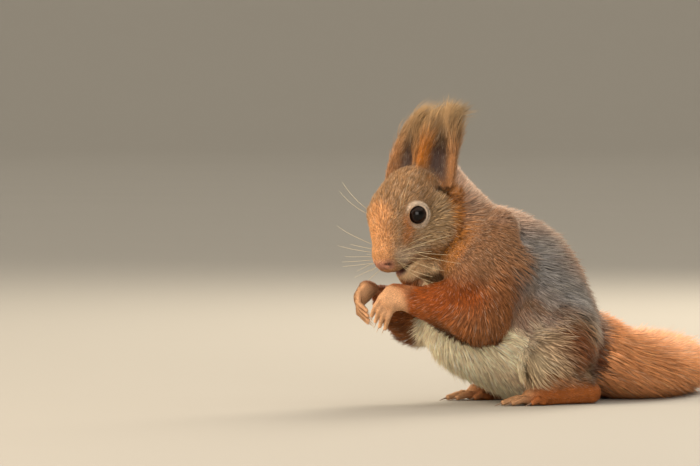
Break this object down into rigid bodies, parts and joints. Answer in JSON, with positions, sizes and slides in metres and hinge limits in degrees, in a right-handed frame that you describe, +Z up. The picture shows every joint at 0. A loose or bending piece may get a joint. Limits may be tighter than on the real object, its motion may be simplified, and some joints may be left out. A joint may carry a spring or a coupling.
{
  "type": "red squirrel",
  "caption": "Life-size still model of a red squirrel sitting up with both hands at its mouth, tufted ears and a bushy tail laid out behind it.",
  "frame": {"origin": "centre of the flat under the rump, on the floor", "axes": "+Z up, -X the way the body faces, -Y to the animal's left"},
  "size_m": [0.2244, 0.16, 0.1477],
  "materials": {
    "fur_head": "short soft brown fur, warmer on the muzzle",
    "fur_back": "soft grey-brown fur, cream on the belly",
    "fur_rufous": "soft orange-brown fur",
    "fur_tail": "long loose orange-brown fur",
    "skin_hand": "bare skin with very short buff hair",
    "nose_skin": "moist bare skin",
    "eye": "wet and very dark brown",
    "claw": "smooth dark horn, paler at the tip"
  },
  "bodies": {
    "root": {"ear_left": "fur_rufous", "ear_right": "fur_rufous", "ear_tuft_left": "fur_rufous", "ear_tuft_right": "fur_rufous", "eye_left": "eye", "eye_right": "eye", "foot_claw_left_1": "claw", "foot_claw_left_2": "claw", "foot_claw_left_3": "claw", "foot_claw_left_4": "claw", "foot_claw_left_5": "claw", "foot_claw_right_1": "claw", "foot_claw_right_2": "claw", "foot_claw_right_3": "claw", "foot_claw_right_4": "claw", "foot_claw_right_5": "claw", "foot_left": "fur_rufous", "foot_right": "fur_rufous", "forearm_left": "fur_rufous", "forearm_right": "fur_rufous", "hand_claw_left_1": "claw", "hand_claw_left_2": "claw", "hand_claw_left_3": "claw", "hand_claw_left_4": "claw", "hand_claw_right_1": "claw", "hand_claw_right_2": "claw", "hand_claw_right_3": "claw", "hand_claw_right_4": "claw", "hand_left": "skin_hand", "hand_right": "skin_hand", "head": "fur_head", "lower_jaw": "fur_head", "neck": "fur_back", "nose": "nose_skin", "shank_left": "fur_back", "shank_right": "fur_back", "tail_base": "fur_tail", "tail_middle": "fur_tail", "tail_tip": "fur_tail", "thigh_left": "fur_back", "thigh_right": "fur_back", "trunk": "fur_back", "upper_arm_left": "fur_rufous", "upper_arm_right": "fur_rufous"}
  },
  "joints": []
}
